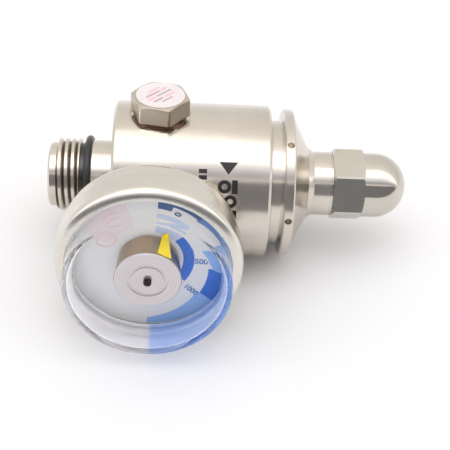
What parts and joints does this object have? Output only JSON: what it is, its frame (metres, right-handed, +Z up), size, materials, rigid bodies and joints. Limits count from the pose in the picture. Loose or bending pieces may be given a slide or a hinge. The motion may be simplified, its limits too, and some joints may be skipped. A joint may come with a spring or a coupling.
{
  "type": "gas pressure regulator",
  "caption": "Small preset gas regulator: turned barrel with threaded inlet, round dial gauge, relief plug, spanner bonnet with domed cap nut and hose barb.",
  "frame": {"origin": "on the barrel axis, at the face where the inlet O-ring seals", "axes": "+X along the barrel from the inlet to the cap nut, +Z up as the regulator lies on a table, -Y towards the gauge side"},
  "size_m": [0.0783, 0.0645, 0.0382],
  "materials": {
    "nickel_plate": "bright nickel plate over brass",
    "bare_brass": "turned brass",
    "yellow_brass": "satin plated brass",
    "stainless": "turned stainless steel",
    "spring_steel": "drawn wire",
    "sintered_bronze": "porous sintered bronze",
    "copper": "soft copper",
    "bronze_drum": "turned bronze, silvery face",
    "bronze_tube": "drawn bronze tube",
    "black_rubber": "smooth black rubber",
    "seat_plastic": "machined white plastic",
    "dial_card": "printed dial, blue and white",
    "clear_lens": "clear moulded plastic",
    "yellow_paint": "bright yellow paint",
    "white_sticker": "white printed film"
  },
  "bodies": {
    "housing": {"regulator_body": "nickel_plate", "inlet_stem": "nickel_plate", "inlet_o_ring": "black_rubber", "filter_clip": "spring_steel", "depressor_pin": "spring_steel", "pin_carrier": "bare_brass", "inlet_filter": "sintered_bronze", "poppet_guide": "bare_brass", "poppet_spring": "spring_steel", "seat_insert": "seat_plastic", "diaphragm": "black_rubber", "slip_ring": "bare_brass", "bonnet": "nickel_plate", "relief_plug": "yellow_brass", "plug_gasket": "copper", "burst_disc": "copper", "inspection_sticker": "white_sticker", "gauge_stem": "bare_brass", "gauge_case": "nickel_plate", "gauge_bezel": "nickel_plate", "gauge_dial": "dial_card", "lens_gasket": "seat_plastic", "gauge_lens": "clear_lens", "gauge_coil": "bronze_tube", "outlet_barb": "bare_brass", "flow_orifice": "stainless", "outlet_gasket": "seat_plastic"},
    "valve": {"poppet": "stainless"},
    "diaphragm_stack": {"diaphragm_plate": "bare_brass", "spring_seat": "bare_brass", "stud_nut": "bare_brass"},
    "button": {"spring_button": "bare_brass", "range_spring": "spring_steel"},
    "screw": {"adjusting_screw": "stainless"},
    "cap_washer": {"cap_nut_washer": "nickel_plate"},
    "cap": {"cap_nut": "nickel_plate"},
    "pointer": {"gauge_drum": "bronze_drum", "gauge_pointer": "yellow_paint"}
  },
  "joints": [
    {"name": "diaphragm_slide", "type": "slide", "parent": "housing", "child": "diaphragm_stack", "axis": [1, 0, 0], "range_m": [-0.0005, 0], "stiffness_N_per_m": 2000, "deforming": ["diaphragm"]},
    {"name": "valve_slide", "type": "slide", "parent": "housing", "child": "valve", "axis": [1, 0, 0], "range_m": [-0.0005, 0], "stiffness_N_per_m": 300, "deforming": ["poppet_spring"]},
    {"name": "button_slide", "type": "slide", "parent": "housing", "child": "button", "axis": [1, 0, 0], "range_m": [-0.0025, 0.002], "deforming": ["range_spring"]},
    {"name": "adjusting_screw_turn", "type": "hinge", "parent": "button", "child": "screw", "pos_m": [0.0485, 0, 0], "axis": [1, 0, 0], "range_deg": [-850, 680]},
    {"name": "cap_washer_slide", "type": "slide", "parent": "housing", "child": "cap_washer", "axis": [1, 0, 0], "range_m": [0, 0.0053]},
    {"name": "cap_nut_turn", "type": "hinge", "parent": "cap_washer", "child": "cap", "pos_m": [0.0555, 0, 0], "axis": [1, 0, 0], "range_deg": [0, 1800]},
    {"name": "pointer_turn", "type": "hinge", "parent": "housing", "child": "pointer", "pos_m": [0.01355, -0.02891, 0.00226], "axis": [0, 0.997, -0.0779], "range_deg": [0, 155], "stiffness_Nm_per_rad": 0.0002}
  ],
  "couplings": [
    {"joint": "valve_slide", "follows": "diaphragm_slide", "ratio": 1},
    {"joint": "button_slide", "follows": "adjusting_screw_turn", "m_per_rad": 0.00016844},
    {"joint": "cap_washer_slide", "follows": "cap_nut_turn", "m_per_rad": 0.00016844}
  ]
}
